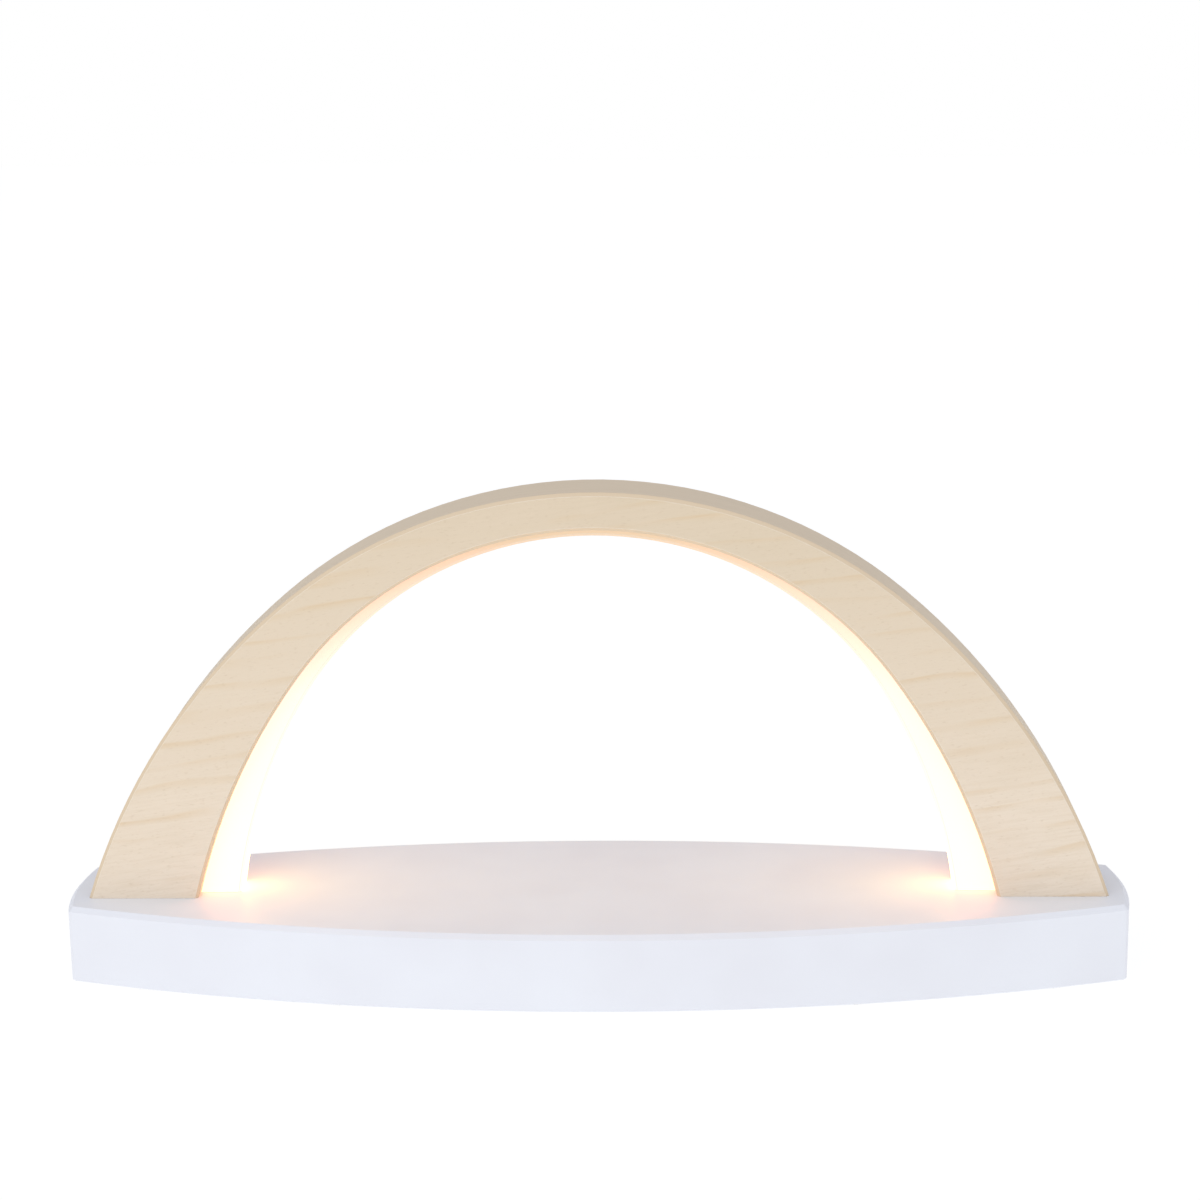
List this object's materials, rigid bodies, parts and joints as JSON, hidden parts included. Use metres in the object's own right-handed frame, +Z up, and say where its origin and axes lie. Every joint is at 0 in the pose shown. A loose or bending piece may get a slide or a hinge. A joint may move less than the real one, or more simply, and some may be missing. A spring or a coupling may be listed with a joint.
{
  "type": "candle arch",
  "caption": "Lit wooden candle arch without candles: a bowed white base holds a laminated pale wood arch with hidden warm lamps and a glowing rim, a battery box below and a slide switch behind.",
  "frame": {"origin": "on the surface that the felt pads stand on, under the middle of the base", "axes": "+X along the base to the right as seen in the picture, +Y to the back, +Z up; the arch faces -Y"},
  "size_m": [0.41, 0.112, 0.1896],
  "materials": {
    "white_lacquer": "white satin lacquer on board",
    "pale_wood": "matte oiled pale wood with a level grain",
    "frosted_acrylic": "frosted, glowing warm white from the lamps behind it",
    "dowel_wood": "bare",
    "screw_steel": "zinc plated",
    "lamp_tape": "white flexible tape",
    "lamp_glow": "glowing warm white",
    "lead_sleeve": "matte",
    "white_plastic": "fine matte",
    "cell_can": "plain satin sleeve",
    "contact_metal": "nickel plated",
    "circuit_board": "green solder resist",
    "black_plastic": "matte",
    "capacitor_can": "satin",
    "header_plastic": "ivory nylon",
    "switch_metal": "tin plated",
    "felt": "grey felt"
  },
  "bodies": {
    "root": {"base_board": "white_lacquer", "front_arch_board": "pale_wood", "core_arch_board": "pale_wood", "back_arch_board": "pale_wood", "light_guide": "frosted_acrylic", "arch_dowels": "dowel_wood", "layer_dowels": "dowel_wood", "arch_screws": "screw_steel", "led_tape_left": "lamp_tape", "led_tape_right": "lamp_tape", "led_chips_left": "lamp_glow", "led_chips_right": "lamp_glow", "led_lead_left": "lead_sleeve", "led_lead_right": "lead_sleeve", "channel_cover_left": "white_plastic", "channel_cover_right": "white_plastic", "battery_box": "white_plastic", "battery_cell_1": "cell_can", "battery_cell_2": "cell_can", "battery_cell_3": "cell_can", "contact_leaves": "contact_metal", "contact_plates": "contact_metal", "box_screws": "screw_steel", "driver_cover": "white_plastic", "cover_screws": "screw_steel", "timer_board": "circuit_board", "board_screws": "screw_steel", "timer_chip": "black_plastic", "smoothing_capacitor": "capacitor_can", "lead_headers": "header_plastic", "battery_leads": "lead_sleeve", "switch_body": "switch_metal", "switch_bezel": "white_plastic", "bezel_screws": "screw_steel", "felt_pads": "felt"},
    "lid": {"battery_lid": "white_plastic"},
    "slider": {"switch_slider": "black_plastic"}
  },
  "joints": [
    {"name": "lid_slide", "type": "slide", "parent": "root", "child": "lid", "axis": [1, 0, 0], "range_m": [0, 0.008]},
    {"name": "switch_slide", "type": "slide", "parent": "root", "child": "slider", "axis": [1, 0, 0], "range_m": [-0.002, 0.002]}
  ]
}
